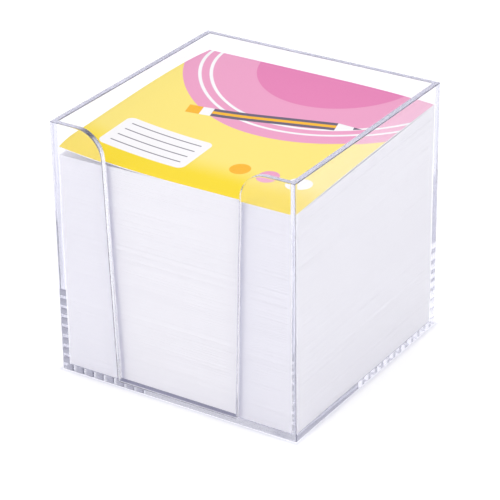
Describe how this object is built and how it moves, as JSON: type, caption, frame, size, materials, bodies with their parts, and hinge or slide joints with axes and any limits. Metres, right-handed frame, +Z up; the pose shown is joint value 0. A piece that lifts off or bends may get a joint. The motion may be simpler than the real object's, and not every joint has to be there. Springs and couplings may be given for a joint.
{
  "type": "memo box",
  "caption": "Clear square desk box, open on top, with a tapered finger notch in the front wall, holding a pile of loose note sheets under a cover card.",
  "frame": {"origin": "middle of the box's underside", "axes": "+Z up, the finger notch faces -Y, +X to the right of someone facing the notch"},
  "size_m": [0.095, 0.095, 0.0936],
  "materials": {
    "clear_plastic": "clear, polished, moulded",
    "note_paper": "uncoated, cut edges",
    "card_print": "printed board, satin"
  },
  "bodies": {
    "clear_box": {"clear_box": "clear_plastic"},
    "sheet_block": {"sheet_block": "note_paper"},
    "loose_sheet_01": {"loose_sheet_01": "note_paper"},
    "loose_sheet_02": {"loose_sheet_02": "note_paper"},
    "loose_sheet_03": {"loose_sheet_03": "note_paper"},
    "loose_sheet_04": {"loose_sheet_04": "note_paper"},
    "loose_sheet_05": {"loose_sheet_05": "note_paper"},
    "loose_sheet_06": {"loose_sheet_06": "note_paper"},
    "loose_sheet_07": {"loose_sheet_07": "note_paper"},
    "loose_sheet_08": {"loose_sheet_08": "note_paper"},
    "loose_sheet_09": {"loose_sheet_09": "note_paper"},
    "loose_sheet_10": {"loose_sheet_10": "note_paper"},
    "loose_sheet_11": {"loose_sheet_11": "note_paper"},
    "loose_sheet_12": {"loose_sheet_12": "note_paper"},
    "loose_sheet_13": {"loose_sheet_13": "note_paper"},
    "loose_sheet_14": {"loose_sheet_14": "note_paper"},
    "loose_sheet_15": {"loose_sheet_15": "note_paper"},
    "loose_sheet_16": {"loose_sheet_16": "note_paper"},
    "loose_sheet_17": {"loose_sheet_17": "note_paper"},
    "loose_sheet_18": {"loose_sheet_18": "note_paper"},
    "cover_card": {"cover_card": "card_print"}
  },
  "joints": [
    {"name": "sheet_block_lift", "type": "slide", "parent": "clear_box", "child": "sheet_block", "axis": [0, 0, 1], "range_m": [0, 0.095]},
    {"name": "loose_sheet_01_lift", "type": "slide", "parent": "sheet_block", "child": "loose_sheet_01", "axis": [0, 0, 1], "range_m": [0, 0.015]},
    {"name": "loose_sheet_02_lift", "type": "slide", "parent": "loose_sheet_01", "child": "loose_sheet_02", "axis": [0, 0, 1], "range_m": [0, 0.015]},
    {"name": "loose_sheet_03_lift", "type": "slide", "parent": "loose_sheet_02", "child": "loose_sheet_03", "axis": [0, 0, 1], "range_m": [0, 0.015]},
    {"name": "loose_sheet_04_lift", "type": "slide", "parent": "loose_sheet_03", "child": "loose_sheet_04", "axis": [0, 0, 1], "range_m": [0, 0.015]},
    {"name": "loose_sheet_05_lift", "type": "slide", "parent": "loose_sheet_04", "child": "loose_sheet_05", "axis": [0, 0, 1], "range_m": [0, 0.015]},
    {"name": "loose_sheet_06_lift", "type": "slide", "parent": "loose_sheet_05", "child": "loose_sheet_06", "axis": [0, 0, 1], "range_m": [0, 0.015]},
    {"name": "loose_sheet_07_lift", "type": "slide", "parent": "loose_sheet_06", "child": "loose_sheet_07", "axis": [0, 0, 1], "range_m": [0, 0.015]},
    {"name": "loose_sheet_08_lift", "type": "slide", "parent": "loose_sheet_07", "child": "loose_sheet_08", "axis": [0, 0, 1], "range_m": [0, 0.015]},
    {"name": "loose_sheet_09_lift", "type": "slide", "parent": "loose_sheet_08", "child": "loose_sheet_09", "axis": [0, 0, 1], "range_m": [0, 0.015]},
    {"name": "loose_sheet_10_lift", "type": "slide", "parent": "loose_sheet_09", "child": "loose_sheet_10", "axis": [0, 0, 1], "range_m": [0, 0.015]},
    {"name": "loose_sheet_11_lift", "type": "slide", "parent": "loose_sheet_10", "child": "loose_sheet_11", "axis": [0, 0, 1], "range_m": [0, 0.015]},
    {"name": "loose_sheet_12_lift", "type": "slide", "parent": "loose_sheet_11", "child": "loose_sheet_12", "axis": [0, 0, 1], "range_m": [0, 0.015]},
    {"name": "loose_sheet_13_lift", "type": "slide", "parent": "loose_sheet_12", "child": "loose_sheet_13", "axis": [0, 0, 1], "range_m": [0, 0.015]},
    {"name": "loose_sheet_14_lift", "type": "slide", "parent": "loose_sheet_13", "child": "loose_sheet_14", "axis": [0, 0, 1], "range_m": [0, 0.015]},
    {"name": "loose_sheet_15_lift", "type": "slide", "parent": "loose_sheet_14", "child": "loose_sheet_15", "axis": [0, 0, 1], "range_m": [0, 0.015]},
    {"name": "loose_sheet_16_lift", "type": "slide", "parent": "loose_sheet_15", "child": "loose_sheet_16", "axis": [0, 0, 1], "range_m": [0, 0.015]},
    {"name": "loose_sheet_17_lift", "type": "slide", "parent": "loose_sheet_16", "child": "loose_sheet_17", "axis": [0, 0, 1], "range_m": [0, 0.015]},
    {"name": "loose_sheet_18_lift", "type": "slide", "parent": "loose_sheet_17", "child": "loose_sheet_18", "axis": [0, 0, 1], "range_m": [0, 0.015]},
    {"name": "cover_card_lift", "type": "slide", "parent": "loose_sheet_18", "child": "cover_card", "axis": [0, 0, 1], "range_m": [0, 0.015]}
  ]
}
